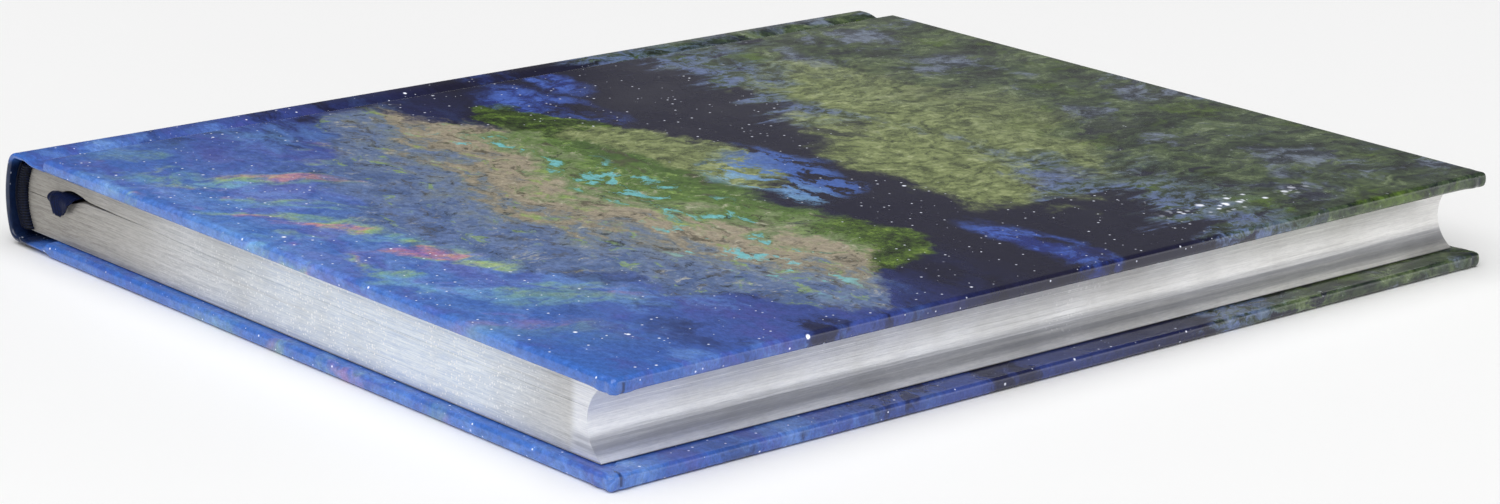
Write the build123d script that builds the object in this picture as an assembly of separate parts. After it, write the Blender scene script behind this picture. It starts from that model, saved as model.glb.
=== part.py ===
from build123d import *
import os

# A case-bound hardcover notebook, closed and lying on its back cover.
# While it is modelled, X = 0 is the boards' spine edge and X grows towards the fore-edge,
# Y = 0 is the tail edge and Y grows towards the head, and Z = 0 is the outside of the back cover.
# All sizes are in millimetres.

# ---- Case ----
book_length = 228.6  # tail to head, over the covers
board_width = 172.0  # one cover, from its spine edge to its fore-edge
book_thickness = 19.7  # over both covers, closed
board_thickness = 2.3
board_edge_radius = 0.65
cover_sheet = 0.25  # laminated printed paper
turn_in = 15.0  # cover sheet folded over onto the inside

# ---- Joints and spine of the case ----
spine_swell = 6.2  # from the spine card's edge to the outermost line of the spine
spine_bulge = 2.0  # how far the spine bows out between its two corners
spine_corner_radius = 3.0
spine_card_thickness = 0.6
joint_width = 8.0  # from the boards' spine edge to the spine card
groove_floor = 4.5  # the flat part of each groove
groove_bend_radius = 2.0
front_groove_depth = 2.0  # below the outside of the front cover
front_crest_depth = 1.1
back_groove_depth = 0.9  # above the outside of the back cover
back_crest_depth = 0.7
hinge_setback = 2.5  # from the boards' spine edge to the line that a cover turns on
hinge_gap = 0.3  # between what turns and what stays

# ---- Endpapers and page block ----
endpaper = 0.15
cover_gap = 0.1  # between a closed cover and the page block
end_square = 2.6  # how far the covers stand out past the pages at head and tail
fore_square = 5.5
shoulder_reach = 2.4  # how far the shoulders of the page block lie past the spine card's edge
back_rounding = 2.2  # how far the back of the block bows out
fore_hollow_depth = 4.0  # how far the fore-edge of the block curves in

# ---- On the back of the page block ----
lining_thickness = 0.35
band_tape = 0.35
band_tape_length = 8.0
band_bead_width = 3.0
band_bead_height = 1.3
band_bead_radius = 1.1

# ---- Ribbon marker ----
ribbon_width = 8.0
ribbon_thickness = 0.3
ribbon_slack = 0.05
ribbon_rise = 2.1  # above the middle of the page block
ribbon_tail_x = 3.5  # middle of the ribbon where it leaves the pages
ribbon_head_x = -6.5
ribbon_bend_radius = 0.4
ribbon_hang = 2.6
ribbon_point = 1.6
mouth_left = 5.5  # the pages stand apart around the ribbon at the tail
mouth_right = 12.0
mouth_height = 2.0
mouth_depth = 20.0
mouth_end_share = 0.15  # size of the mouth's inner end, as a share of its outer end

# ---- Worked-out sizes ----
case_cover = 2 * cover_sheet + board_thickness  # over the turn-in
endpaper_low = case_cover
flyleaf_low = case_cover + endpaper + cover_gap
block_low = flyleaf_low + endpaper
block_high = book_thickness - block_low
block_middle = book_thickness / 2
block_spine_x = -(joint_width + shoulder_reach)
block_fore_x = board_width - fore_square
block_tail_y = end_square
block_head_y = book_length - end_square
hinge_x = -hinge_setback
moving_side_x = hinge_x + hinge_gap / 2
fixed_side_x = hinge_x - hinge_gap / 2
card_edge_x = -joint_width
spine_x = -(joint_width + spine_swell)


def block_between(x_range, y_range, z_range):
    """A box between three pairs of limits."""
    size = [high - low for low, high in (x_range, y_range, z_range)]
    corner = (x_range[0], y_range[0], z_range[0])
    return Pos(*corner) * Box(*size, align=(Align.MIN, Align.MIN, Align.MIN))


def along_book(section, y_low, y_high):
    """A section drawn in XZ, carried along the book from y_low to y_high."""
    return extrude(Plane.XZ.offset(-y_low) * section, -(y_high - y_low))


def section_box(x_low, x_high, z_low=-book_thickness, z_high=2 * book_thickness):
    """A rectangle in a section, by default tall enough to clip any section of the book."""
    middle = ((x_low + x_high) / 2, (z_low + z_high) / 2)
    return Pos(*middle) * Rectangle(x_high - x_low, z_high - z_low)


def mirrored_to_front(shape):
    """The same piece on the front cover, facing the other way."""
    return mirror(shape, about=Plane.XY.offset(block_middle))


# ---- One cover, built as the back cover ----


def board():
    plain = block_between(
        (cover_sheet, board_width - cover_sheet),
        (cover_sheet, book_length - cover_sheet),
        (cover_sheet, cover_sheet + board_thickness),
    )
    return fillet(plain.edges(), board_edge_radius)


def cover_wrap(groove_depth):
    """The printed sheet: over the board's outside, round three edges, and into the groove."""
    plain = block_between((0, board_width), (0, book_length), (0, case_cover))
    envelope = fillet(plain.edges(), board_edge_radius + cover_sheet)
    between_turn_ins = (turn_in, book_length - turn_in)
    above = case_cover + 1
    window = block_between(
        (-1, board_width - turn_in),
        between_turn_ins,
        (cover_sheet + board_thickness, above),
    )
    groove_top = groove_depth + cover_sheet
    bare_spine_edge = block_between(
        (-1, cover_sheet + board_edge_radius), between_turn_ins, (groove_top, above)
    )
    sheet = envelope - board() - window - bare_spine_edge
    strip = block_between(
        (moving_side_x, cover_sheet), (0, book_length), (groove_depth, groove_top)
    )
    folded_strip = block_between(
        (moving_side_x, cover_sheet),
        (0, book_length),
        (groove_top, groove_top + cover_sheet),
    )
    middle = block_between((2 * hinge_x, 1), between_turn_ins, (groove_top, above))
    return sheet + strip + (folded_strip - middle)


def pastedown():
    """The half of the endpaper on the board. It steps down off the turn-ins."""
    top = endpaper_low + endpaper
    rim = block_between(
        (moving_side_x, block_fore_x), (block_tail_y, block_head_y), (endpaper_low, top)
    )
    pan_x = (cover_sheet + board_edge_radius, board_width - turn_in)
    pan_y = (turn_in, book_length - turn_in)
    pan_floor = cover_sheet + board_thickness
    pan = block_between(pan_x, pan_y, (pan_floor, top))
    hollow = block_between(
        (pan_x[0] + endpaper, pan_x[1] - endpaper),
        (pan_y[0] + endpaper, pan_y[1] - endpaper),
        (pan_floor + endpaper, top + 1),
    )
    return rim + pan - hollow


def flyleaf():
    """The other half of the endpaper, folded back over itself at the block's shoulder."""
    leaf = section_box(
        block_spine_x - endpaper, block_fore_x, flyleaf_low, flyleaf_low + endpaper
    )
    hinge_leaf = section_box(
        block_spine_x - endpaper, fixed_side_x, endpaper_low, endpaper_low + endpaper
    )
    fold = section_box(
        block_spine_x - endpaper, block_spine_x, endpaper_low, flyleaf_low + endpaper
    )
    return along_book(leaf + hinge_leaf + fold, block_tail_y, block_head_y)


# ---- Spine of the case ----


def spine_outline():
    """The outside of the spine and both grooves, closed far inside the book."""
    front_crest = book_thickness - front_crest_depth
    front_groove = book_thickness - front_groove_depth
    corner_x = spine_x + spine_bulge
    middle = (front_crest + back_crest_depth) / 2
    inside_x = board_width / 2
    front = [
        (inside_x, front_groove),
        (-groove_floor, front_groove),
        (card_edge_x, front_crest),
        (corner_x, front_crest),
    ]
    back = [
        (corner_x, back_crest_depth),
        (card_edge_x, back_crest_depth),
        (-groove_floor, back_groove_depth),
        (inside_x, back_groove_depth),
    ]
    arc = ThreePointArc(front[-1], (spine_x, middle), back[0])
    closing = Line(back[-1], front[0])
    face = make_face(Polyline(*front) + arc + Polyline(*back) + closing)
    corners = [v for v in face.vertices() if abs(v.X - corner_x) < 1e-4]
    face = fillet(corners, spine_corner_radius)
    turns = (card_edge_x, -groove_floor)
    bends = [v for v in face.vertices() if min(abs(v.X - x) for x in turns) < 1e-4]
    return fillet(bends, groove_bend_radius)


def spine_inset(outline, inset):
    return offset(outline, -inset) if inset else outline


def spine_pieces():
    """The printed sheet over the spine with its turned-in ends, and the card inside it."""
    outline = spine_outline()
    under_sheet = spine_inset(outline, cover_sheet)
    under_card = spine_inset(outline, cover_sheet + spine_card_thickness)
    under_joint_fold = spine_inset(outline, 2 * cover_sheet)
    under_card_fold = spine_inset(outline, 2 * cover_sheet + spine_card_thickness)
    far_left = 2 * spine_x
    spine_side = section_box(far_left, fixed_side_x)
    card_side = section_box(far_left, card_edge_x)
    fold_side = section_box(far_left, card_edge_x + cover_sheet)
    joint_side = section_box(card_edge_x + cover_sheet, fixed_side_x)

    sheet_section = (outline - under_sheet) & spine_side
    card_section = (under_sheet - under_card) & card_side
    hollow = (under_joint_fold & joint_side) + (under_card_fold & fold_side)
    end_section = (outline & spine_side) - hollow
    fold_section = end_section - card_section

    wrap = along_book(sheet_section, cover_sheet, book_length - cover_sheet)
    for y_low, y_high in (
        (cover_sheet, turn_in),
        (book_length - turn_in, book_length - cover_sheet),
    ):
        wrap += along_book(fold_section, y_low, y_high)
    for y_low in (0, book_length - cover_sheet):
        wrap += along_book(end_section, y_low, y_low + cover_sheet)
    card = along_book(card_section, cover_sheet, book_length - cover_sheet)
    return wrap, card


# ---- Page block and what is glued to its back ----


def block_section(outset=0.0):
    """The pages' end view: rounded back, hollow fore-edge. outset grows only the back."""
    back_low = (block_spine_x, block_low)
    back_high = (block_spine_x, block_high)
    back_crown = (block_spine_x - back_rounding, block_middle)
    fore_low = (block_fore_x, block_low)
    fore_high = (block_fore_x, block_high)
    fore_hollow = (block_fore_x - fore_hollow_depth, block_middle)
    outline = (
        ThreePointArc(back_low, back_crown, back_high)
        + Line(back_high, fore_high)
        + ThreePointArc(fore_high, fore_hollow, fore_low)
        + Line(fore_low, back_low)
    )
    face = make_face(outline)
    if outset:
        between_shoulders = section_box(2 * spine_x, block_fore_x, block_low, block_high)
        face = offset(face, outset) & between_shoulders
    return face


def back_layer(inner, outer):
    """A layer that follows the rounded back, between two distances from the pages."""
    behind = section_box(2 * spine_x, block_spine_x + back_rounding)
    return (block_section(outer) - block_section(inner)) & behind


def mouth_section(low, share):
    """The gap between the pages beside the ribbon, at full size or a share of it."""
    left = (ribbon_tail_x - share * mouth_left, low)
    right = (ribbon_tail_x + share * mouth_right, low)
    top = (ribbon_tail_x, low + share * mouth_height)
    return make_face(ThreePointArc(left, top, right) + Line(right, left))


def ribbon_slot():
    """The thin space between two pages, and its mouth where they stand apart at the tail."""
    half = ribbon_width / 2 + ribbon_slack
    low = block_middle + ribbon_rise - ribbon_slack
    plan = Polyline(
        (ribbon_tail_x - half, block_tail_y),
        (ribbon_tail_x + half, block_tail_y),
        (ribbon_head_x + half, block_head_y),
        (ribbon_head_x - half, block_head_y),
        close=True,
    )
    gap = Pos(0, 0, low) * extrude(make_face(plan), ribbon_thickness + 2 * ribbon_slack)
    mouth = loft(
        [
            Plane.XZ.offset(-block_tail_y) * mouth_section(low, 1),
            Plane.XZ.offset(-block_tail_y - mouth_depth) * mouth_section(low, mouth_end_share),
        ]
    )
    return gap + mouth


def page_block():
    return along_book(block_section(), block_tail_y, block_head_y) - ribbon_slot()


def ribbon_marker():
    """Flat between the pages, then bent down over the tail, with a pointed end."""
    half = ribbon_width / 2
    low = block_middle + ribbon_rise
    left = ribbon_tail_x - half
    right = ribbon_tail_x + half
    plan = Polyline(
        (left, block_tail_y),
        (right, block_tail_y),
        (ribbon_head_x + half, block_head_y),
        (ribbon_head_x - half, block_head_y),
        close=True,
    )
    flat = Pos(0, 0, low) * extrude(make_face(plan), ribbon_thickness)

    turn = low - ribbon_bend_radius
    outer = ribbon_bend_radius + ribbon_thickness
    ring = Circle(outer) - Circle(ribbon_bend_radius)
    quarter = ring & Pos(-outer / 2, outer / 2) * Rectangle(outer, outer)
    bend = extrude(Plane.YZ.offset(left) * (Pos(block_tail_y, turn) * quarter), ribbon_width)

    shoulder = turn - ribbon_hang + ribbon_point
    end = Polyline(
        (left, turn),
        (right, turn),
        (right, shoulder),
        (ribbon_tail_x, turn - ribbon_hang),
        (left, shoulder),
        close=True,
    )
    tail_y = block_tail_y - outer
    hanging = along_book(make_face(end), tail_y, tail_y + ribbon_thickness)
    return flat + bend + hanging


def spine_lining():
    section = back_layer(0, lining_thickness)
    return along_book(
        section, block_tail_y + band_tape_length, block_head_y - band_tape_length
    )


def tail_band():
    """A woven band: a tape on the back of the block and a bead standing on the pages' ends."""
    tape = along_book(
        back_layer(0, band_tape), block_tail_y, block_tail_y + band_tape_length
    )
    pages_behind_bead = Pos(band_bead_width, 0) * block_section()
    bead_section = block_section(band_tape) - pages_behind_bead
    bead = along_book(bead_section, block_tail_y - band_bead_height, block_tail_y)
    outer_face = bead.faces().sort_by(Axis.Y)[0]
    long_edges = [e for e in outer_face.edges() if e.length > 2 * band_bead_width]
    return tape + fillet(long_edges, band_bead_radius)


def head_band():
    return mirror(tail_band(), about=Plane.XZ.offset(-book_length / 2))


# ---- Write every piece in the frame of the finished part ----


def pieces():
    spine_wrap, spine_card = spine_pieces()
    return {
        "front_board": mirrored_to_front(board()),
        "front_wrap": mirrored_to_front(cover_wrap(front_groove_depth)),
        "front_pastedown": mirrored_to_front(pastedown()),
        "front_flyleaf": mirrored_to_front(flyleaf()),
        "back_board": board(),
        "back_wrap": cover_wrap(back_groove_depth),
        "back_pastedown": pastedown(),
        "back_flyleaf": flyleaf(),
        "spine_wrap": spine_wrap,
        "spine_card": spine_card,
        "spine_lining": spine_lining(),
        "head_band": head_band(),
        "tail_band": tail_band(),
        "page_block": page_block(),
        "ribbon_marker": ribbon_marker(),
    }


to_part_frame = Pos(-(board_width + spine_x) / 2, -book_length / 2, 0)
os.makedirs("parts", exist_ok=True)
for name, shape in pieces().items():
    export_step(to_part_frame * shape, f"parts/{name}.step")
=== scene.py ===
import math

import bpy
import numpy as np
from mathutils import Matrix, Vector


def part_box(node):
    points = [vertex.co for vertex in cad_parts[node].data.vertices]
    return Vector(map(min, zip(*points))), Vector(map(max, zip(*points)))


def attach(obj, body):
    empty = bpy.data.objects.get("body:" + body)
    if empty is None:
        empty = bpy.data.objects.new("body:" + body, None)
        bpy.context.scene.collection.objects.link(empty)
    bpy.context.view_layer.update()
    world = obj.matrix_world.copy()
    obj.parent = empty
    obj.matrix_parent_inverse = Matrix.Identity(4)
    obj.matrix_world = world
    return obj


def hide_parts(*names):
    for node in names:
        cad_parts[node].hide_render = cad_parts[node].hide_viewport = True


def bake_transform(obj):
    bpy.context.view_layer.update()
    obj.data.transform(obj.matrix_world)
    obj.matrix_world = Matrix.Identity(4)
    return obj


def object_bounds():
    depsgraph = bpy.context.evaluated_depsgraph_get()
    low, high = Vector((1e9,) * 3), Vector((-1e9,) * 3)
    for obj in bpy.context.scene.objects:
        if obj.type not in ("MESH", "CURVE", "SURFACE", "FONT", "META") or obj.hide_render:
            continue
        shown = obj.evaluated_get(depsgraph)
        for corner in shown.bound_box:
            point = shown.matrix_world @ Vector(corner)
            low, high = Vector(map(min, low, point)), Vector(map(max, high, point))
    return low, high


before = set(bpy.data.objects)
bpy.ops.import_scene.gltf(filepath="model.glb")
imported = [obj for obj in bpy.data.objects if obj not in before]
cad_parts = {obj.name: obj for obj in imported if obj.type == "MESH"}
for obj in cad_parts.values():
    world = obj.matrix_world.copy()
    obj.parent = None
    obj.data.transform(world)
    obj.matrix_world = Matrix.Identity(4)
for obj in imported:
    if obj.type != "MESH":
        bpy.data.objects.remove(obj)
cad_low, cad_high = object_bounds()

# ---------------------------------------------------------------- sizes, from the CAD frame
# Everything is modelled in millimetres from the front board's spine edge, the tail edge and
# the floor, and put() moves it into the frame, in metres.
SHEET = 0.25
board_low, board_high = (1000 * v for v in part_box("front_board"))
block_box = [1000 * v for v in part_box("page_block")]
ORIGIN_X = board_low.x - SHEET
ORIGIN_Y = 1000 * cad_low.y
LENGTH = 1000 * (cad_high.y - cad_low.y)
THICK = 1000 * cad_high.z
WIDTH = board_high.x + SHEET - ORIGIN_X
SPINE_X = 1000 * cad_low.x - ORIGIN_X
COVER = board_high.z - board_low.z + 2 * SHEET
TAIL_Y = block_box[0].y - ORIGIN_Y
HEAD_Y = block_box[1].y - ORIGIN_Y
CROWN_X = block_box[0].x - ORIGIN_X
FORE_X = block_box[1].x - ORIGIN_X
BLOCK_LOW = block_box[0].z
BLOCK_HIGH = block_box[1].z
BLOCK_MID = (BLOCK_LOW + BLOCK_HIGH) / 2


def put(points):
    """Local millimetres to metres in the frame."""
    p = np.asarray(points, float).reshape(-1, 3) + (ORIGIN_X, ORIGIN_Y, 0)
    return p / 1000


def smooth(x, low, high):
    t = np.clip((np.asarray(x, float) - low) / (high - low), 0, 1)
    return t * t * (3 - 2 * t)


def arc(cx, cz, r, start, end, n):
    """Points on a circle in XZ, angles in degrees."""
    a = np.radians(np.linspace(start, end, n))
    return np.stack([cx + r * np.cos(a), cz + r * np.sin(a)], 1)


def mesh_object(name, points, faces, uv=None):
    """A smooth mesh. uv holds one (u, v) for each corner of each face, in 100 mm."""
    mesh = bpy.data.meshes.new(name)
    mesh.from_pydata(put(points).tolist(), [], [list(map(int, f)) for f in faces])
    mesh.validate()
    if uv is not None:
        layer = mesh.uv_layers.new(name="sheet")
        layer.data.foreach_set("uv", np.asarray(uv, np.float32).ravel())
    mesh.update()
    mesh.polygons.foreach_set("use_smooth", [True] * len(mesh.polygons))
    obj = bpy.data.objects.new(name, mesh)
    bpy.context.scene.collection.objects.link(obj)
    return obj


# ---------------------------------------------------------------- covers
EDGE_R = 0.95
CORNER_R = 0.7
END_STEPS = 5
# how much longer a quarter round is than its radius
QUARTER_EXTRA = 0.57


def spread(low, high, fine, coarse, margin):
    """Numbers from low to high, close together within margin of each end."""
    n_end = int(margin / fine)
    ends = np.linspace(0, margin, n_end, endpoint=False)
    n_mid = max(2, int((high - low - 2 * margin) / coarse))
    middle = np.linspace(low + margin, high - margin, n_mid)
    return np.concatenate([low + ends, middle, high - ends[::-1]])


def slab_tube(name, outer, inner, u, back=False):
    """A thick sheet with rounded ends at tail and head, and round the fore-edge.
    outer, inner: XZ points of its two faces, station by station. u: its unfolded place."""
    shares = spread(0, 1, 0.0022, 0.025, 0.045)
    n = len(shares)
    right_angle = math.pi / 2
    a = np.linspace(0, right_angle, END_STEPS + 1)
    rings, uvs = [], []
    for (ox, oz), (ix, iz), us in zip(outer, inner, u):
        o, i = np.array([ox, oz]), np.array([ix, iz])
        h = np.linalg.norm(o - i)
        up = (o - i) / max(h, 1e-6)
        mid = (o + i) / 2
        past = max(ox, ix) - (WIDTH - CORNER_R)
        cut = CORNER_R - math.sqrt(max(CORNER_R**2 - past**2, 0)) if past > 0 else 0.0
        r = min(EDGE_R, 0.49 * h) if h > 0.02 else 0.0
        low, high = cut, LENGTH - cut
        y_flat = low + r + shares * (high - low - 2 * r)
        tail_y, head_y, top = low + r, high - r, h / 2 - r
        past_head = high + QUARTER_EXTRA * r + (h - 2 * r)
        past_tail = low - QUARTER_EXTRA * r - (h - 2 * r)
        # y, height over the middle of the sheet and unfolded y, once round
        ring = [(y, h / 2, y) for y in y_flat]
        ring += [(head_y + r * math.sin(t), top + r * math.cos(t), head_y + r * t) for t in a[1:]]
        ring += [(head_y + r * math.cos(t), -top - r * math.sin(t), past_head + r * t) for t in a[:-1]]
        ring += [(y, -h / 2, 2 * high - y + h if y > LENGTH / 2 else -y - h) for y in y_flat[::-1]]
        for t in a[1:]:
            ring.append((tail_y - r * math.sin(t), -top - r * math.cos(t), past_tail - r * (right_angle - t)))
        for t in a[:-1]:
            ring.append((tail_y - r * math.cos(t), top + r * math.sin(t), tail_y - r * (right_angle - t)))
        rings.append([(mid[0] + up[0] * q, y, mid[1] + up[1] * q) for y, q, _ in ring])
        uvs.append([(us, v) for _, _, v in ring])
    m = len(rings[0])
    edge_height = abs(outer[0][1] - inner[0][1])
    fold_u = u[0] + math.copysign(edge_height / 2, u[0] - u[-1])
    points = np.array(rings).reshape(-1, 3)
    ring_uv = np.array(uvs)
    faces, uv = [], []
    for k in range(len(rings) - 1):
        for j in range(m):
            j2 = (j + 1) % m
            quad = [(k, j), (k + 1, j), (k + 1, j2), (k, j2)]
            faces.append([a * m + b for a, b in quad])
            inside = n + 2 * END_STEPS <= j < 2 * n + 2 * END_STEPS
            for a, b in quad:
                uu, vv = ring_uv[a, b]
                x, y = rings[a][b][0], rings[a][b][1]
                from_fore = WIDTH - x
                if inside and from_fore < min(y, LENGTH - y):
                    uu, vv = 2 * fold_u - uu, y
                uv.append((uu / 100, vv / 100))
    turn = 2 * n + 2 * END_STEPS - 1
    for k in (0, len(rings) - 1):
        for j in range(-END_STEPS, n + END_STEPS - 1):
            quad = [j % m, (j + 1) % m, (turn - j - 1) % m, (turn - j) % m]
            if k:
                quad = quad[::-1]
            faces.append([k * m + q for q in quad])
            for q in quad:
                lower = k == 0 and n + END_STEPS <= q < 2 * n + 3 * END_STEPS
                uv.append(((2 * fold_u - u[0] if lower else u[k]) / 100, rings[k][q][1] / 100))
    if back:
        uv = [uv[4 * f + c] for f in range(len(faces)) for c in (3, 2, 1, 0)]
        faces = [f[::-1] for f in faces]
    return mesh_object(name, fold_corners(points, back), faces, uv)


def fold_corners(points, back):
    """The sheet is folded in at the fore-edge corners: thicker and mitred inside, pleated outside."""
    p = points.copy()
    mid_z = COVER / 2 if back else THICK - COVER / 2
    inward = 1 if back else -1
    inside = np.clip(inward * (p[:, 2] - mid_z) / (COVER / 2), 0, 1)
    for corner_y, side in ((0, 1), (LENGTH, -1)):
        dx, dy = WIDTH - points[:, 0], side * (points[:, 1] - corner_y)
        d = np.hypot(dx, dy)
        mitre = np.exp(-(((dx - dy) / 0.55) ** 2)) * np.clip(1.4 - d / 14, 0, 1)
        swell = 0.30 * np.exp(-((d / 5.0) ** 2)) - 0.16 * mitre
        p[:, 2] += inward * inside * swell
        near_fore = np.exp(-((dx / 1.0) ** 2))
        near_end = np.exp(-((dy / 1.0) ** 2))
        fold = 0.12 * np.exp(-(((d - 2.3) / 0.4) ** 2))
        swells = 0.34 * np.exp(-(((d - 3.9) / 1.0) ** 2)) + 0.26 * np.exp(-(((d - 0.9) / 0.8) ** 2))
        crease = (fold - swells) * (0.6 + 0.4 * inside)
        p[:, 0] -= crease * near_fore
        p[:, 1] += side * crease * near_end
    return p


def fore_edge(top, bottom):
    """Stations round the fore-edge, from the outermost line to the flat, as (outer, inner)."""
    a = np.radians(np.linspace(90, 0, 9))
    x = WIDTH - EDGE_R + EDGE_R * np.sin(a)
    drop = EDGE_R - EDGE_R * np.cos(a)
    sign = 1 if top > bottom else -1
    return (
        np.stack([x, top - sign * drop], 1),
        np.stack([x, bottom + sign * drop], 1),
    )


def unfolded(outer, zero_x):
    """Running length along the outer face, equal to X where the cover is flat."""
    step = np.linalg.norm(np.diff(outer, axis=0), axis=1)
    s = np.concatenate([[0], np.cumsum(step)])
    flat = np.argmin(np.abs(outer[:, 0] - zero_x))
    return outer[flat, 0] + s[flat] - s


FRONT_GROOVE = THICK - 2.0
FRONT_CREST = THICK - 1.1
BACK_GROOVE = 0.85
BACK_CREST = 0.7
SEAM_X = -9.0
GROOVE_WALL = 0.65
SPINE_WALL = 1.1


def flat_x(*last):
    """Stations over the flat of a board, close together near the fore-edge."""
    near = np.linspace(WIDTH - EDGE_R - 0.3, WIDTH - 12, 30)
    return np.concatenate([near, np.linspace(WIDTH - 18, 6, 22), last])


def front_path():
    top, inside = THICK, THICK - COVER
    outer, inner = fore_edge(top, inside)
    x = flat_x(3, 1.6)
    outer = np.vstack([outer, np.stack([x, np.full(len(x), top)], 1)])
    inner = np.vstack([inner, np.stack([x, np.full(len(x), inside)], 1)])
    # down the board's spine edge into the groove
    r, foot = 0.9, 0.6
    step = np.vstack([arc(r, top - r, r, 90, 180, 8), arc(-foot, FRONT_GROOVE + foot, foot, 0, -90, 6)])
    step_z = np.linspace(inside, FRONT_GROOVE - GROOVE_WALL, len(step))
    step_in = np.stack([np.linspace(r, -foot, len(step)), step_z], 1)
    # groove floor, and up to the crest
    gx = np.concatenate([np.linspace(-0.8, -3.6, 16), np.linspace(-4.0, -9.6, 14)])
    gz = FRONT_GROOVE + (FRONT_CREST - FRONT_GROOVE) * smooth(-gx, 3.6, 8.6)
    thick = GROOVE_WALL + (SPINE_WALL - GROOVE_WALL) * smooth(-gx, 6.5, 9.0)
    groove = np.stack([gx, gz], 1)
    groove_in = np.stack([gx, gz - thick], 1)
    # shoulder, spine, lower shoulder
    mid_z = (FRONT_CREST + BACK_CREST) / 2
    half = (FRONT_CREST - BACK_CREST) / 2
    bulge, fillet = 2.0, 3.0
    big = (half**2 + bulge**2) / (2 * bulge)
    cx = SPINE_X + big
    fz = half - fillet
    fx = cx - math.sqrt((big - fillet) ** 2 - fz**2)
    turn = math.degrees(math.atan2(fz, fx - cx))
    round_ = [
        (fx, mid_z + fz, fillet, 90, turn, 12),
        (cx, mid_z, big, turn, 360 - turn, 26),
        (fx, mid_z - fz, fillet, 360 - turn, 270, 12),
    ]
    spine = np.vstack([arc(a, b, r0, s, e, k)[1:] for a, b, r0, s, e, k in round_])
    spine_in = np.vstack([arc(a, b, r0 - SPINE_WALL, s, e, k)[1:] for a, b, r0, s, e, k in round_])
    tail = np.array([[SEAM_X - 0.6, BACK_CREST], [SEAM_X, BACK_CREST]])
    tail_in = tail + (0, SPINE_WALL)
    outer = np.vstack([outer, step, groove, spine, tail])
    inner = np.vstack([inner, step_in, groove_in, spine_in, tail_in])
    return outer, inner


def back_path():
    outer, inner = fore_edge(0.0, COVER)
    x = flat_x(4)
    outer = np.vstack([outer, np.stack([x, np.zeros(len(x))], 1)])
    inner = np.vstack([inner, np.stack([x, np.full(len(x), COVER)], 1)])
    gx = np.concatenate([np.linspace(3, 0.2, 9), np.linspace(0, -3.6, 20), np.linspace(-4.0, SEAM_X, 13)])
    gz = BACK_GROOVE * smooth(-gx, -2.0, 1.6) - (BACK_GROOVE - BACK_CREST) * smooth(-gx, 5, 9)
    top = COVER + (BACK_GROOVE + GROOVE_WALL - COVER) * smooth(-gx, -0.6, 1.6)
    top += (BACK_CREST + SPINE_WALL - BACK_GROOVE - GROOVE_WALL) * smooth(-gx, 6.5, 9)
    outer = np.vstack([outer, np.stack([gx, gz], 1)])
    inner = np.vstack([inner, np.stack([gx, top], 1)])
    return outer, inner


outer, inner = front_path()
u_front = unfolded(outer, WIDTH / 2)
front_sheet = slab_tube("front_cover_sheet", outer, inner, u_front)
outer, inner = back_path()
u_back = unfolded(outer, WIDTH / 2)
u_back = u_front[-1] + u_back[-1] - u_back
back_sheet = slab_tube("back_cover_sheet", outer, inner, u_back, back=True)
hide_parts("front_wrap", "spine_wrap")
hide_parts("back_wrap")


# ---------------------------------------------------------------- page block
# how deep the fore-edge is hollowed, and how far the block's back stands out
HOLLOW = 4.0
ROUNDING = CROWN_X - (1000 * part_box("spine_lining")[1].x - ORIGIN_X)
RIBBON_THICK = 0.3
RIBBON_Z = 1000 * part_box("ribbon_marker")[1].z - RIBBON_THICK / 2
rng = np.random.default_rng(11)


def bow(z, sag):
    """How far a round of that height stands out at z: nothing at its ends, sag at the middle."""
    half = (BLOCK_HIGH - BLOCK_LOW) / 2
    r = (sag**2 + half**2) / (2 * abs(sag))
    dz = np.clip(np.asarray(z, float) - BLOCK_MID, -half, half)
    return math.copysign(1, sag) * (np.sqrt(r**2 - dz**2) - (r - abs(sag)))


def spine_line(z):
    return CROWN_X - ROUNDING + bow(z, ROUNDING)


def fore_line(z):
    return FORE_X - bow(z, HOLLOW)


def wander(n, knots, size):
    """n smooth random numbers."""
    k = rng.normal(0, size, knots)
    x = np.linspace(0, knots - 1, n)
    i = np.minimum(x.astype(int), knots - 2)
    t = x - i
    t = t * t * (3 - 2 * t)
    return k[i] * (1 - t) + k[i + 1] * t


def part_line(x):
    """Height of the opening beside the ribbon, at the tail."""
    return RIBBON_Z - 1.25 + 2.05 * smooth(x, -2, 12) - 0.8 * smooth(x, 26, 60)


def lip_up(x):
    """How far the pages over the ribbon are lifted there."""
    rise = 1.95 * smooth(x, -1.6, 4.0) * (1 - smooth(x, 4.6, 13.0))
    return rise + 0.35 * smooth(x, 0, 9) * (1 - smooth(x, 10, 26)) + 0.03


def lip_down(x):
    """How far the pages under the ribbon are pressed down there."""
    return 0.35 * smooth(x, -1.6, 2.0) * (1 - smooth(x, 6, 12)) + 0.02


def sharpen(obj, corners, m):
    """Keeps the upright corners of a stack of loops crisp. corners: places in each loop of m points."""
    mesh = obj.data
    ends = np.empty(2 * len(mesh.edges), int)
    mesh.edges.foreach_get("vertices", ends)
    place = ends.reshape(-1, 2) % m
    sharp = (place[:, 0] == place[:, 1]) & np.isin(place[:, 0], corners)
    layer = mesh.attributes.new("sharp_edge", "BOOLEAN", "EDGE")
    layer.data.foreach_set("value", sharp)


PAGE_ROWS = 118


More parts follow.
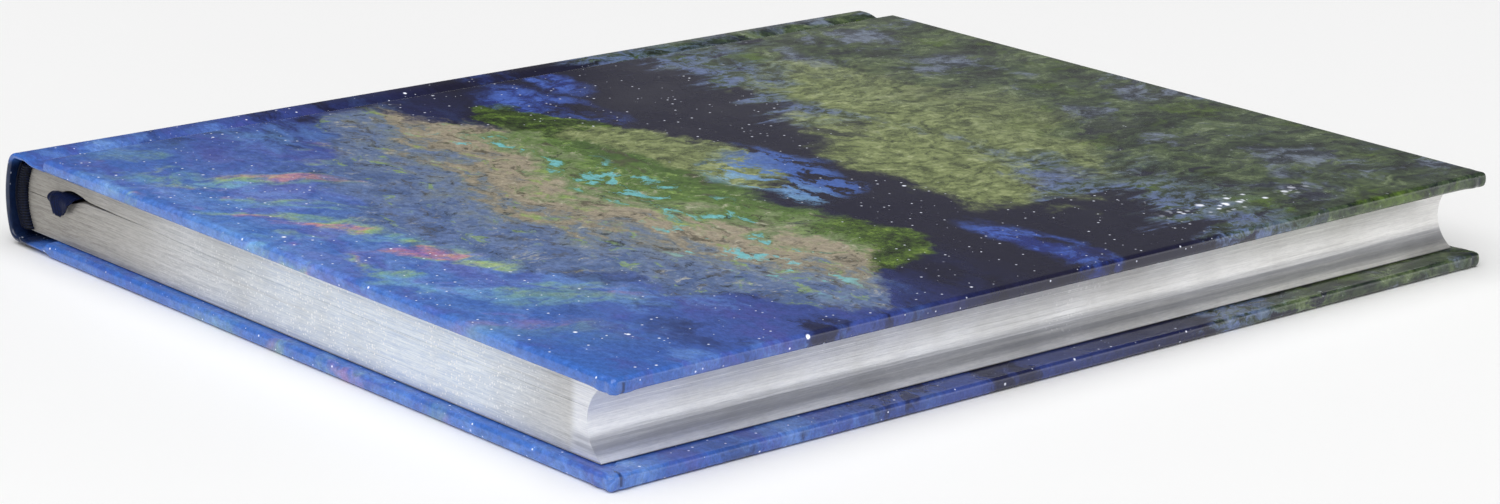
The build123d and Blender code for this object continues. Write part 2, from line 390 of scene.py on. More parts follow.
def page_block():
    """A stack of loops round the pages. The rows split where the ribbon comes out at the tail."""
    rows = PAGE_ROWS
    z_rows = np.linspace(BLOCK_LOW, BLOCK_HIGH, rows)
    split = int(np.searchsorted(z_rows, RIBBON_Z))
    xs = np.concatenate([np.linspace(0, 44, 74), np.linspace(46, 160, 38), np.linspace(163, 177, 8)]) / 177
    ys = np.linspace(0, 1, 88)
    hs = np.linspace(1, 0, 54)
    ss = np.linspace(1, 0, 14)
    sheet = rng.normal(0, 0.007, rows)
    sheet += np.repeat(rng.normal(0, 0.006, rows // 9 + 1), 9)[:rows]
    sheet[::9] -= 0.02
    wave = [wander(rows, 12, 0.009) for _ in range(4)]
    nick = [wander(rows, 40, 0.004) for _ in range(6)]

    def loop(k, z, tunnel=None):
        """Row k's outline at height z. tunnel: how deep the slit is there, and how far it has closed."""
        lo, hi = float(spine_line(z)), float(fore_line(z))
        x = lo + xs * (hi - lo)
        shift = part_line(x) - RIBBON_Z
        end_z = BLOCK_LOW if k < split else BLOCK_HIGH
        share = min(max((z - end_z) / (RIBBON_Z - end_z), 0), 1)
        near = -lip_down(x) if k < split else lip_up(x)
        zt = z + shift * share + near * share**2.2
        phase = np.linspace(0, 1, len(x))
        rel = sheet[k] * (0.6 + 0.8 * phase) + wave[0][k] * np.sin(5 * phase + 1) * 0.6
        rel = rel + nick[0][k] * np.sin(23 * phase) + nick[4][k] * np.sin(61 * phase + 2) * 0.6
        y = TAIL_Y - rel * np.where(phase > 0.995, 0, 1)
        if tunnel is not None:
            deep, close = tunnel
            size = lip_up(x) + lip_down(x)
            y = TAIL_Y + deep * smooth(size, 0.02, 0.9) + 0.35 * min(deep, 1) * (1 - smooth(x, 20, 34))
            zt = zt + (part_line(x) - zt) * close
        tail = np.stack([x, y, zt], 1)
        p = ys[1:]
        yy = TAIL_Y + p * (HEAD_Y - TAIL_Y)
        rel = sheet[k] * (0.7 + 0.5 * np.sin(4 * p)) + wave[1][k] * np.sin(7 * p)
        rel = rel + nick[1][k] * np.sin(31 * p) + nick[5][k] * np.sin(73 * p + 1) * 0.6
        fore = np.stack([hi + rel * np.where(p > 0.995, 0, 1), yy, np.full(len(p), z)], 1)
        x = lo + hs[1:] * (hi - lo)
        rel = sheet[k] + wave[2][k] * np.sin(6 * hs[1:]) + nick[2][k] * np.sin(27 * hs[1:])
        head = np.stack([x, HEAD_Y + rel, np.full(len(x), z)], 1)
        y = TAIL_Y + ss[1:-1] * (HEAD_Y - TAIL_Y)
        zs = z + (zt[0] - z) * (1 - ss[1:-1]) ** 3
        back = np.stack([np.full(len(y), lo), y, zs], 1)
        return np.vstack([tail, fore, head, back])

    tunnels = [(0.12, 0), (1.2, 0.1), (4, 0.35), (10, 0.75), (18, 0.97)]
    loops = [loop(k, z_rows[k]) for k in range(split)]
    loops += [loop(split - 1, RIBBON_Z - 0.002, t) for t in tunnels]
    loops += [loop(split, RIBBON_Z + 0.002, t) for t in tunnels[::-1]]
    loops += [loop(k, z_rows[k]) for k in range(split, rows)]
    m = len(loops[0])
    points = np.vstack(loops)
    faces = []
    for r in range(len(loops) - 1):
        for j in range(m):
            j2 = (j + 1) % m
            faces.append((r * m + j, r * m + j2, (r + 1) * m + j2, (r + 1) * m + j))
    faces.append(tuple(range(m - 1, -1, -1)))
    top = (len(loops) - 1) * m
    faces.append(tuple(range(top, top + m)))
    block = mesh_object("gilt_page_block", points, faces)
    corners = np.cumsum([0, len(xs) - 1, len(ys) - 1, len(hs) - 1])
    sharpen(block, corners, m)
    return block


pages = page_block()
for cap in pages.data.polygons[-2:]:
    cap.use_smooth = False
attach(pages, "text_block")
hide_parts("page_block")


# ---------------------------------------------------------------- ribbon
def thick_grid(name, grid, thickness, uv_grid=None):
    """A closed thin solid round a grid of points (rows, columns, 3)."""
    grid = np.asarray(grid, float)
    du = np.gradient(grid, axis=1)
    dv = np.gradient(grid, axis=0)
    normal = np.cross(du, dv)
    normal /= np.maximum(np.linalg.norm(normal, axis=2, keepdims=True), 1e-9)
    r, c = grid.shape[:2]
    over = (grid + normal * thickness / 2).reshape(-1, 3)
    under = (grid - normal * thickness / 2).reshape(-1, 3)
    n = r * c
    index = np.arange(n).reshape(r, c)
    faces = []
    for i in range(r - 1):
        for j in range(c - 1):
            q = [index[i, j], index[i, j + 1], index[i + 1, j + 1], index[i + 1, j]]
            faces.append(q)
            faces.append([v + n for v in q[::-1]])
    rim = list(index[0, :]) + list(index[1:, -1]) + list(index[-1, -2::-1]) + list(index[-2:0:-1, 0])
    for a, b in zip(rim, rim[1:] + rim[:1]):
        faces.append([b, a, a + n, b + n])
    uv = None
    if uv_grid is not None:
        flat = np.vstack([np.asarray(uv_grid).reshape(-1, 2)] * 2) / 100
        uv = [flat[v] for f in faces for v in f]
    return mesh_object(name, np.vstack([over, under]), faces, uv)


def curve_through(points, n):
    """Even points on a smooth line through the given ones."""
    p = np.asarray(points, float)
    p = np.vstack([2 * p[0] - p[1], p, 2 * p[-1] - p[-2]])
    t = np.linspace(0, len(p) - 3 - 1e-9, n * 8)
    i = t.astype(int) + 1
    f = (t - t.astype(int))[:, None]
    line = 0.5 * (
        2 * p[i] + (p[i + 1] - p[i - 1]) * f
        + (2 * p[i - 1] - 5 * p[i] + 4 * p[i + 1] - p[i + 2]) * f**2
        + (3 * p[i] - p[i - 1] - 3 * p[i + 1] + p[i + 2]) * f**3
    )
    s = np.concatenate([[0], np.cumsum(np.linalg.norm(np.diff(line, axis=0), axis=1))])
    even = np.linspace(0, s[-1], n)
    return np.stack([np.interp(even, s, line[:, k]) for k in range(p.shape[1])], 1)


# Y and Z of the ribbon's middle line, from inside the pages to its hanging end
RIBBON_LINE = [
    (24, 12.05), (14, 12.15), (8, 12.5), (4.6, 12.95), (2.9, 13.2),
    (1.7, 12.95), (1.15, 12.2), (1.05, 11.2), (1.25, 10.0), (1.5, 8.6),
]
RIBBON_X = 3.6
RIBBON_HALF = 4.0


def ribbon():
    cols, rows = 34, 62
    path = curve_through(RIBBON_LINE, rows)
    run = np.linspace(0, 1, rows)
    out = smooth(path[:, 0], 6, 1.5)
    across = np.linspace(-1, 1, cols)
    grid = np.zeros((rows, cols, 3))
    uv = np.zeros((rows, cols, 2))
    jag = rng.normal(0, 0.16, cols)
    for i in range(rows):
        y, z = path[i]
        x = RIBBON_X + RIBBON_HALF * across + 0.35 * out[i] * np.sin(2.2 * across)
        fold = 0.42 * np.sin(5.1 * across + 0.6) + 0.2 * np.sin(9.5 * across + 2)
        drop = max(0.0, 12.6 - z) if y < 3 else 0.0
        hang = min(drop / 4.1, 1)
        tip = 2.9 * np.abs(across + 0.1) ** 1.15 + jag * 0.6
        zz = z + hang * tip - 0.55 * across**2 * out[i]
        zz = zz + 0.28 * out[i] * (across > 0.2) * (across - 0.2)
        grid[i, :, 0] = x - hang * across
        grid[i, :, 1] = y + fold * out[i] * (0.5 + 0.5 * min(drop / 2, 1))
        grid[i, :, 2] = zz
        uv[i, :, 0] = RIBBON_HALF * across
        uv[i, :, 1] = 30 * run[i]
    return thick_grid("ribbon_marker_cloth", grid, 0.24, uv)


ribbon_cloth = ribbon()
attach(ribbon_cloth, "text_block")
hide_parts("ribbon_marker")


# ---------------------------------------------------------------- head and tail bands
def band(name, end_y, way):
    """A woven bead over the page ends, and its tape down the back of the block."""
    threads, steps, around = 25, 6, 18
    z = np.linspace(BLOCK_LOW + 0.02, BLOCK_HIGH - 0.02, threads * steps)
    angle = np.linspace(0, 2 * math.pi, around, endpoint=False)
    points, faces = [], []
    for i, zz in enumerate(z):
        ridge = 1 + 0.055 * np.cos(2 * math.pi * (i / steps) + 0.5 * np.cos(angle))
        edge = min(1.0, 0.35 + (min(i, len(z) - 1 - i) / 3))
        x = spine_line(zz) + 1.5 + 1.5 * np.cos(angle) * ridge * edge
        y = end_y - way * (0.05 + 1.22 * np.sin(angle) * ridge * edge)
        points += [(a, b, zz) for a, b in zip(x, y)]
    for i in range(len(z) - 1):
        for j in range(around):
            j2 = (j + 1) % around
            q = [i * around + j, i * around + j2, (i + 1) * around + j2, (i + 1) * around + j]
            faces.append(q if way > 0 else q[::-1])
    ends = [list(range(around))[::-1], [(len(z) - 1) * around + j for j in range(around)]]
    faces += [e if way > 0 else e[::-1] for e in ends]
    bead = mesh_object(name, points, faces)
    zt = np.linspace(BLOCK_LOW + 0.05, BLOCK_HIGH - 0.05, 34)
    yt = np.linspace(end_y - way * 0.9, end_y + way * 8.0, 24)
    fray = rng.normal(0, 0.12, len(zt))
    grid = [
        [(spine_line(a) - 0.2, b + (fray[i] if k == len(yt) - 1 else 0), a) for k, b in enumerate(yt)]
        for i, a in enumerate(zt)
    ]
    tape = thick_grid(name + "_tape", grid, 0.3)
    for piece in (bead, tape):
        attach(piece, "text_block")
    return bead, tape


tail_bead, tail_tape = band("tail_band_bead", TAIL_Y, 1)
head_bead, head_tape = band("head_band_bead", HEAD_Y, -1)
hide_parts("tail_band")
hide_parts("head_band")


# ---------------------------------------------------------------- endpapers
def paper(name, stations, ripple, thickness=0.13, inset=0.0):
    """A leaf through XZ stations, almost flat, its long edges a little wavy."""
    path = np.asarray(stations, float)
    ys = np.concatenate([[0, 0.5, 1.5], np.linspace(4, 219, 60), [221.9, 222.9, 223.4]]) + TAIL_Y
    ys = TAIL_Y + inset + (ys - TAIL_Y) * (1 - 2 * inset / (HEAD_Y - TAIL_Y))
    grid = []
    for x, z in path:
        dz = ripple * np.sin(ys / 17.0 + x / 31.0) * smooth(x, 60, FORE_X)
        grid.append([(x, y, z + d) for y, d in zip(ys, dz)])
    s = np.concatenate([[0], np.cumsum(np.linalg.norm(np.diff(path, axis=0), axis=1))])
    uv = [[(a, y) for y in ys] for a in s]
    return thick_grid(name, grid, thickness, uv)


def leaf_x(first):
    fine = np.concatenate([np.linspace(first, -3.8, 8), np.linspace(-3.5, 0, 20)])
    return np.concatenate([fine, np.linspace(1, FORE_X - 3, 38), [FORE_X - 1, FORE_X - 0.05]])


def pastedown(name, face, flank):
    """Glued to the board's inside, and over the joint to the block's shoulder."""
    x = leaf_x(-8.2)
    x = np.minimum(x, FORE_X - 0.9 + 0.1 * (x - FORE_X))
    z = face + (flank - face) * smooth(-x, 0.5, 7.5)
    return paper(name, np.stack([x, z], 1), 0.0, 0.14, 0.9)


def flyleaf(name, z):
    """The loose leaf, flat on the pages."""
    x = leaf_x(-10.3)
    return paper(name, np.stack([x, np.full(len(x), z)], 1), 0.02)


front_paste = pastedown("front_pastedown_leaf", THICK - COVER - 0.08, BLOCK_HIGH + 0.22)
back_paste = pastedown("back_pastedown_leaf", COVER + 0.08, BLOCK_LOW - 0.22)
front_fly = flyleaf("front_flyleaf_sheet", BLOCK_HIGH + 0.085)
back_fly = flyleaf("back_flyleaf_sheet", BLOCK_LOW - 0.085)
for piece, node in (
    (front_paste, "front_pastedown"), (back_paste, "back_pastedown"),
    (front_fly, "front_flyleaf"), (back_fly, "back_flyleaf"),
):
    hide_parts(node)
for piece in (front_fly, back_fly):
    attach(piece, "text_block")


# ---------------------------------------------------------------- materials
def srgb(r, g, b):
    """A colour from 0-255 screen values, as the shader's linear numbers."""
    linear = [(c / 255 / 12.92) if c <= 10 else ((c / 255 + 0.055) / 1.055) ** 2.4 for c in (r, g, b)]
    return (*linear, 1.0)


class Graph:
    """Short names for shader nodes. Values are numbers, colours or other nodes' outputs."""

    def __init__(self, name):
        self.material = bpy.data.materials.new(name)
        self.material.use_nodes = True
        self.tree = self.material.node_tree
        self.shader = self.tree.nodes["Principled BSDF"]

    def node(self, kind, values=None, out=0, **settings):
        node = self.tree.nodes.new("ShaderNode" + kind)
        for key, value in settings.items():
            setattr(node, key, value)
        for key, value in (values or {}).items():
            self.link(node.inputs[key], value)
        return node.outputs[out]

    def link(self, socket, value):
        if isinstance(value, bpy.types.NodeSocket):
            self.tree.links.new(value, socket)
        elif value is not None:
            socket.default_value = value

    def math(self, operation, *values):
        return self.node("Math", dict(enumerate(values)), operation=operation)

    def chain(self, operation, values):
        total = values[0]
        for value in values[1:]:
            total = self.math(operation, total, value)
        return total

    def add(self, *values):
        return self.chain("ADD", values)

    def mul(self, *values):
        return self.chain("MULTIPLY", values)

    def max(self, *values):
        return self.chain("MAXIMUM", values)

    def sub(self, a, b):
        return self.math("SUBTRACT", a, b)

    def div(self, a, b):
        return self.math("DIVIDE", a, b)

    def abs(self, a):
        return self.math("ABSOLUTE", a)

    def mix(self, factor, a, b, kind="MIX"):
        return self.node("Mix", {0: factor, 6: a, 7: b}, out=2, data_type="RGBA", blend_type=kind)

    def vector(self, operation, a, b=None, scale=None):
        values = {0: a}
        if b is not None:
            values[1] = b
        if scale is not None:
            values["Scale"] = scale
        return self.node("VectorMath", values, operation=operation)

    def noise(self, at, scale, detail=3.0, rough=0.55, out=0):
        values = {"Vector": at, "Scale": scale, "Detail": detail, "Roughness": rough}
        return self.node("TexNoise", values, out=out)

    def step(self, value, low, high, a=0.0, b=1.0):
        values = {0: value, 1: low, 2: high, 3: a, 4: b}
        return self.node("MapRange", values, interpolation_type="SMOOTHSTEP")

    def ramp(self, value, stops):
        node = self.tree.nodes.new("ShaderNodeValToRGB")
        self.link(node.inputs[0], value)
        band = node.color_ramp
        band.elements[0].position, band.elements[0].color = stops[0]
        band.elements[1].position, band.elements[1].color = stops[-1]
        for place, color in stops[1:-1]:
            band.elements.new(place).color = color
        return node.outputs[0]

    def uv(self):
        return self.node("UVMap", uv_map="sheet")

    def place(self):
        return self.node("TexCoord", out=3)

    def scaled(self, at, x, y, z=1.0):
        return self.node("VectorMath", {0: at, 1: (x, y, z)}, operation="MULTIPLY")

    def moved(self, at, x, y, z=0.0):
        return self.node("VectorMath", {0: at, 1: (x, y, z)}, operation="ADD")

    def xyz(self, at):
        node = self.tree.nodes.new("ShaderNodeSeparateXYZ")
        self.link(node.inputs[0], at)
        return node.outputs

    def bump(self, height, strength, distance):
        return self.node("Bump", {"Height": height, "Strength": strength, "Distance": distance})

    def oval(self, at, x, y, rx, ry):
        """Distance from an oval's middle, 1 on its rim."""
        local = self.scaled(self.moved(at, -x, -y), 1 / rx, 1 / ry, 0)
        return self.node("VectorMath", {0: local}, out=1, operation="LENGTH")

    def centred(self, at, scale, detail, rough):
        """Noise as a vector that pushes either way."""
        return self.vector("SUBTRACT", self.noise(at, scale, detail, rough, out=1), (0.5, 0.5, 0.5))

    def pushed(self, at, push, scale):
        return self.vector("ADD", at, self.vector("SCALE", push, scale=scale))

    def cells(self, at, scale):
        """Distance to the nearest of scattered points, and that point's random numbers."""
        node = self.tree.nodes.new("ShaderNodeTexVoronoi")
        self.link(node.inputs["Vector"], at)
        node.inputs["Scale"].default_value = scale
        return node.outputs["Distance"], self.xyz(node.outputs["Color"])

    def set(self, **values):
        for key, value in values.items():
            self.link(self.shader.inputs[key.replace("_", " ")], value)
        return self.material


def spot(g, at, x, y, rx, ry, soft=0.35):
    """1 inside a soft-edged oval, 0 outside."""
    return g.step(g.oval(at, x, y, rx, ry), 1 + soft, 1 - soft)


def printed_cover():
    """Night sky, cloud and moss as loose fields of colour on the unfolded cover, in 100 mm."""
    g = Graph("printed_cover")
    flat = g.uv()
    swirl = g.centred(flat, 2.3, 4, 0.55)
    warped = g.pushed(g.pushed(flat, swirl, 0.22), g.centred(flat, 14, 4, 0.6), 0.075)
    x, y, _ = g.xyz(warped)
    fx, fy, _ = g.xyz(flat)
    daub = g.noise(g.scaled(flat, 1, 1.25), 62, 5, 0.65)
    fine = g.noise(g.scaled(flat, 1.0, 1.6), 170, 3, 0.7)
    grain = g.add(g.mul(daub, 0.6), g.mul(fine, 0.4))
    stroke = g.noise(g.scaled(warped, 1.7, 0.8), 26, 6, 0.72)
    stroke2 = g.noise(g.moved(g.scaled(warped, 1.3, 1.0), 5.3, 8.1), 15, 6, 0.7)
    # sky
    stretch = g.step(fx, -1.3, -1.9, 1, 0.62)
    sky = g.ramp(g.div(g.mul(y, stretch), 2.3), [
        (0.0, srgb(72, 114, 184)), (0.08, srgb(70, 104, 174)), (0.17, srgb(74, 96, 162)),
        (0.27, srgb(62, 78, 140)), (0.36, srgb(38, 44, 86)),
        (0.44, srgb(35, 34, 60)), (1.0, srgb(33, 35, 57)),
    ])
    drift = g.noise(g.scaled(warped, 1.0, 2.4), 2.6, 6, 0.66)
    cloud = g.noise(g.moved(g.scaled(warped, 1.0, 2.2), 4.1, 2.7), 3.4, 7, 0.66)
    low_sky = g.step(y, 1.0, 0.3)
    dark = g.mul(g.step(drift, 0.48, 0.60), g.step(fy, 0.10, 0.42))
    sky = g.mix(g.mul(dark, 0.85), sky, srgb(32, 31, 58))
    violet = g.mul(g.step(drift, 0.50, 0.38), low_sky)
    sky = g.mix(g.mul(violet, 0.45), sky, srgb(92, 86, 156))
    pale = g.mul(g.step(cloud, 0.49, 0.63), low_sky)
    sky = g.mix(g.mul(pale, 0.8), sky, srgb(104, 140, 200))
    haze = g.mul(g.step(cloud, 0.60, 0.74), g.step(y, 0.75, 0.1))
    sky = g.mix(g.mul(haze, 0.75), sky, srgb(152, 186, 226))
    high = g.max(
        spot(g, warped, 0.25, 1.07, 0.22, 0.10), spot(g, warped, 1.6, 1.16, 0.22, 0.07),
        spot(g, warped, 0.04, 1.23, 0.16, 0.06), spot(g, warped, -0.20, 1.12, 0.12, 0.07),
    )
    high_blue = g.mix(g.step(stroke2, 0.42, 0.60), srgb(44, 60, 130), srgb(88, 120, 200))
    sky = g.mix(g.mul(high, g.step(cloud, 0.38, 0.56), 0.9), sky, high_blue)
    # a pale mist and coloured streaks low on the sky
    slant = g.node("CombineXYZ", {0: g.mul(g.sub(fx, fy), 2.6), 1: g.add(fx, fy)})
    flow = g.pushed(slant, swirl, 1.1)
    hue = g.noise(g.moved(flow, 7, 3), 2.2, 2, 0.5)
    tint = g.ramp(hue, [
        (0.32, srgb(180, 120, 176)), (0.41, srgb(206, 156, 150)), (0.46, srgb(176, 196, 128)),
        (0.54, srgb(138, 178, 150)), (0.62, srgb(132, 180, 220)), (0.72, srgb(156, 134, 200)),
    ])
    thread = g.step(g.noise(g.moved(flow, 1, 9), 2.6, 4, 0.60), 0.47, 0.62)
    zone = g.max(spot(g, flat, 0.74, 0.22, 0.62, 0.30, 0.55), spot(g, flat, -1.35, 0.25, 0.6, 0.26, 0.5))
    mist = g.mul(zone, g.step(stroke2, 0.38, 0.62, 0.15, 0.55))
    sky = g.mix(mist, sky, g.mix(g.step(drift, 0.4, 0.6), srgb(132, 148, 206), srgb(128, 166, 214)))
    streaky = g.mul(thread, zone, g.step(stroke, 0.34, 0.60, 0.2, 0.9))
    sky = g.mix(streaky, sky, tint)
    # stone and moss: ragged drifts of colour
    loose = g.pushed(warped, g.centred(g.moved(flat, 3.7, 1.3), 1.5, 3, 0.5), 0.40)
    tatter = g.noise(g.moved(g.scaled(warped, 1.0, 1.4), 6.1, 4.4), 5.5, 7, 0.68)

    def drift_of(cx, cy, rx, ry, ragged=1.3, soft=0.10):
        d = g.add(g.oval(loose, cx, cy, rx, ry), g.mul(g.sub(tatter, 0.5), ragged))
        return g.step(d, 1 + soft, 1 - soft)

    land = g.max(
        drift_of(0.74, 0.70, 0.72, 0.25, 1.0), drift_of(0.92, 0.52, 0.52, 0.24, 1.0),
        drift_of(1.36, 0.66, 0.32, 0.14, 1.0),
    )
    over = g.sub(y, 0.36)
    bowl = g.math("POWER", g.abs(g.div(g.sub(x, 0.84), 0.84)), 1.5)
    patch = g.noise(g.scaled(warped, 1, 1.7), 9, 6, 0.68)
    patch2 = g.noise(g.moved(g.scaled(warped, 1, 2.0), 2.2, 5.1), 13, 6, 0.68)
    level = g.add(g.sub(y, 0.30), g.mul(g.sub(patch, 0.5), 0.75))
    level = g.sub(level, g.mul(bowl, 0.28))
    stone = g.ramp(level, [
        (0.0, srgb(92, 112, 152)), (0.12, srgb(118, 134, 164)), (0.20, srgb(126, 136, 146)),
        (0.26, srgb(150, 144, 130)), (0.34, srgb(170, 160, 142)), (0.42, srgb(136, 148, 114)),
        (0.52, srgb(104, 130, 72)), (0.70, srgb(80, 104, 56)),
    ])
    stone = g.mix(g.step(patch2, 0.54, 0.66, 0, 0.75), stone, srgb(88, 84, 72))
    stone = g.mix(g.step(patch2, 0.44, 0.34, 0, 0.7), stone, srgb(150, 174, 104))
    stone = g.mix(g.step(stroke, 0.56, 0.70, 0, 0.65), stone, srgb(202, 198, 180))
    stone = g.mix(g.step(stroke, 0.44, 0.32, 0, 0.75), stone, srgb(38, 44, 40))
    lakes = g.max(
        spot(g, flat, 0.82, 0.80, 0.36, 0.10), spot(g, flat, 1.3, 0.68, 0.28, 0.12),
        spot(g, flat, 0.42, 0.76, 0.2, 0.08),
    )
    water = g.mul(g.step(patch, 0.56, 0.62), lakes)
    stone = g.mix(g.mul(water, 0.85), stone, srgb(128, 196, 204))
    rim = g.mul(g.step(over, 0.12, -0.02), g.step(stroke2, 0.42, 0.60))
    stone = g.mix(g.mul(rim, 0.5), stone, srgb(126, 146, 190))
    olive = g.max(
        drift_of(0.64, 1.00, 0.26, 0.12), drift_of(0.98, 1.41, 0.34, 0.17, 2.4, 0.28),
        drift_of(0.70, 1.72, 0.46, 0.22, 2.4, 0.28),
    )
    lobe = g.max(drift_of(1.31, 0.84, 0.20, 0.12, 1.5), drift_of(0.36, 0.98, 0.24, 0.09, 1.5))
    moss = g.ramp(g.add(g.mul(stroke2, 0.6), g.mul(grain, 0.4)), [
        (0.38, srgb(26, 36, 24)), (0.48, srgb(66, 86, 40)),
        (0.56, srgb(100, 124, 54)), (0.66, srgb(146, 164, 88)),
    ])
    bark = g.ramp(g.add(g.mul(stroke, 0.65), g.mul(stroke2, 0.35)), [
        (0.36, srgb(62, 70, 52)), (0.46, srgb(110, 120, 82)),
        (0.54, srgb(142, 152, 106)), (0.66, srgb(184, 190, 150)),
    ])
    # moss overhead, ragged below
    hang = g.noise(g.scaled(flat, 1.0, 0.16), 11, 5, 0.65)
    crown_low = g.sub(1.78, g.mul(hang, 0.62))
    over_crown = g.sub(y, crown_low)
    crown = g.step(over_crown, -0.03, 0.05)
    tuft = g.noise(g.scaled(warped, 1.5, 1.0), 6.5, 7, 0.70)
    tuft2 = g.noise(g.moved(g.scaled(warped, 1.3, 1.0), 3.3, 1.9), 4.2, 6, 0.68)
    leaf = g.ramp(g.add(g.mul(tuft, 0.55), g.mul(stroke, 0.45)), [
        (0.34, srgb(20, 24, 28)), (0.43, srgb(44, 54, 50)), (0.50, srgb(72, 86, 66)),
        (0.57, srgb(102, 116, 84)), (0.68, srgb(160, 168, 148)),
    ])
    grey = g.mix(g.step(stroke2, 0.40, 0.62), srgb(46, 52, 70), srgb(130, 140, 160))
    leaf = g.mix(g.step(tuft2, 0.52, 0.62, 0, 0.85), leaf, grey)
    fresh = g.mix(g.step(stroke2, 0.38, 0.62), srgb(38, 50, 22), srgb(98, 122, 48))
    leaf = g.mix(g.step(tuft2, 0.46, 0.36, 0, 0.75), leaf, fresh)
    fringe = g.mul(g.step(over_crown, 0.34, 0.04), g.step(stroke, 0.42, 0.58))
    leaf = g.mix(g.mul(fringe, 0.85), leaf, srgb(112, 128, 170))
    gap = g.mul(g.step(g.noise(g.scaled(warped, 1.5, 0.7), 7.5, 4, 0.55), 0.58, 0.62), g.step(y, 2.25, 1.7))
    frayed = g.step(g.add(stroke, g.mul(over_crown, 2.2)), 0.36, 0.54)
    crown = g.mul(crown, g.sub(1, g.mul(gap, 0.9)), frayed)
    front_only = g.mul(g.step(fx, 0.0, 0.05), g.step(fx, 1.74, 1.70))
    color = g.mix(crown, sky, leaf)
    color = g.mix(g.mul(lobe, front_only), color, moss)
    drifted = g.mul(olive, front_only, g.step(y, 2.2, 1.6, 0.1, 1))
    color = g.mix(drifted, color, bark)
    color = g.mix(g.mul(land, front_only), color, stone)
    pool = g.mul(drift_of(0.88, 1.08, 0.19, 0.11, 1.7, 0.3), g.step(patch2, 0.45, 0.53))
    up_pool = g.step(g.add(fy, g.mul(drift, 0.2)), 1.08, 1.24)
    pale_blue = g.mix(up_pool, srgb(146, 190, 222), srgb(84, 118, 188))
    color = g.mix(g.mul(pool, 0.85), color, pale_blue)
    # the spine's round is darker: partly its own dark print, partly painted shade for the shadowed hollow
    # inside the spine
    spine_print_and_shade = g.mul(g.step(fx, -0.125, -0.165), g.step(fx, -0.40, -0.36))
    color = g.mix(g.mul(spine_print_and_shade, 0.88), color, srgb(14, 19, 36))
    # painted shade: a dark line on the boards' edges where the fold of each corner casts its shadow
    off_end = g.sub(g.abs(g.sub(fy, LENGTH / 200)), LENGTH / 200)
    pleat_painted_shade = g.step(g.abs(g.add(off_end, 0.023)), 0.005, 0.001)
    front_rim, back_rim = u_front[0] / 100, u_back[0] / 100
    on_rim = g.max(g.step(fx, front_rim - 0.004, front_rim), g.step(fx, back_rim + 0.004, back_rim))
    color = g.mix(g.mul(pleat_painted_shade, on_rim, 0.65), color, srgb(16, 26, 62))
    # painterly grain, then stars
    shade = g.mix(g.step(grain, 0.34, 0.66), srgb(150, 150, 150), srgb(255, 255, 255))
    color = g.mix(0.5, color, shade, "MULTIPLY")

    def dots(scale, size, keep):
        distance, pick = g.cells(flat, scale)
        near = g.div(distance, g.mul(g.math("POWER", pick[1], 2.0), size))
        return g.mul(g.step(near, 1.0, 0.35), g.step(pick[0], keep, keep + 0.02))

    dust = dots(66, 0.25, 0.10)
    star = dots(16, 0.11, 0.15)
    cluster = g.mul(dots(60, 0.8, 0.25), spot(g, flat, 1.572, 1.69, 0.035, 0.17, 0.6))
    covered = g.max(crown, g.mul(g.max(land, olive), front_only))
    open_sky = g.sub(1, g.mul(covered, 0.82))
    stars = g.mul(g.max(star, g.mul(dust, 0.7)), open_sky)
    stars = g.max(stars, cluster)
    color = g.mix(stars, color, srgb(240, 243, 255))
    color = g.vector("SCALE", g.node("Gamma", {0: color, 1: 1.18}), scale=1.62)
    peel = g.noise(flat, 95, 2, 0.5)
    weave = g.noise(flat, 420, 2, 0.5)
    height = g.add(g.mul(peel, 0.7), g.mul(weave, 0.3))
    rough = g.step(g.noise(flat, 6, 3, 0.6), 0.3, 0.7, 0.20, 0.30)
    rough = g.sub(rough, g.mul(stars, 0.1))
    return g.set(
        Base_Color=color, Roughness=rough, Specular_IOR_Level=0.5, Coat_Weight=0.2, Coat_Roughness=0.12,
        Normal=g.bump(height, 0.12, 0.0002),
    )


